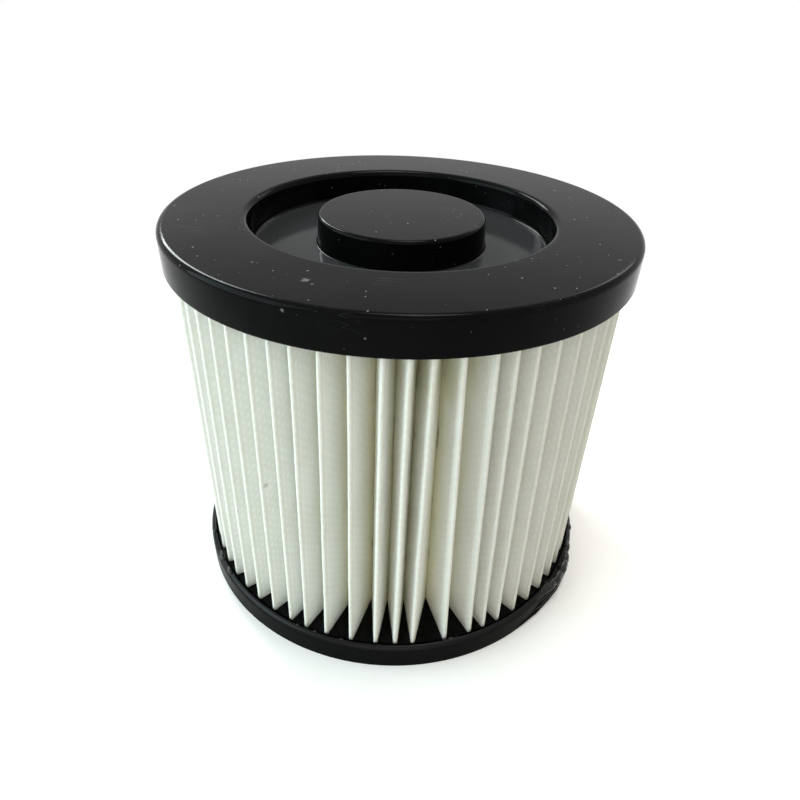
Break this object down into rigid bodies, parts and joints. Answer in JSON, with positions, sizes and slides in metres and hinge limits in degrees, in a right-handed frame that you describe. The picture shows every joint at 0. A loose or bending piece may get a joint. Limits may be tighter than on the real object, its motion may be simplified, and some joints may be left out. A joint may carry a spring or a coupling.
{
  "type": "vacuum cartridge filter",
  "caption": "Round pleated paper cartridge filter with a closed dished end cap, an open end ring and an inner support core, for a canister vacuum.",
  "frame": {"origin": "centre of the underside of the open end ring", "axes": "+Z along the filter's axis, from the open end to the closed cap"},
  "size_m": [0.156, 0.156, 0.1365],
  "materials": {
    "cap_plastic": "glossy black moulding",
    "filter_paper": "off-white pressed filter sheet",
    "core_plastic": "plain black moulding",
    "ring_plastic": "black moulding, slightly rubbed",
    "adhesive": "set black adhesive"
  },
  "bodies": {
    "root": {"top_end_cap": "cap_plastic", "filter_pleats": "filter_paper", "support_core": "core_plastic", "bottom_end_ring": "ring_plastic", "bottom_potting": "adhesive", "top_potting": "adhesive"}
  },
  "joints": []
}
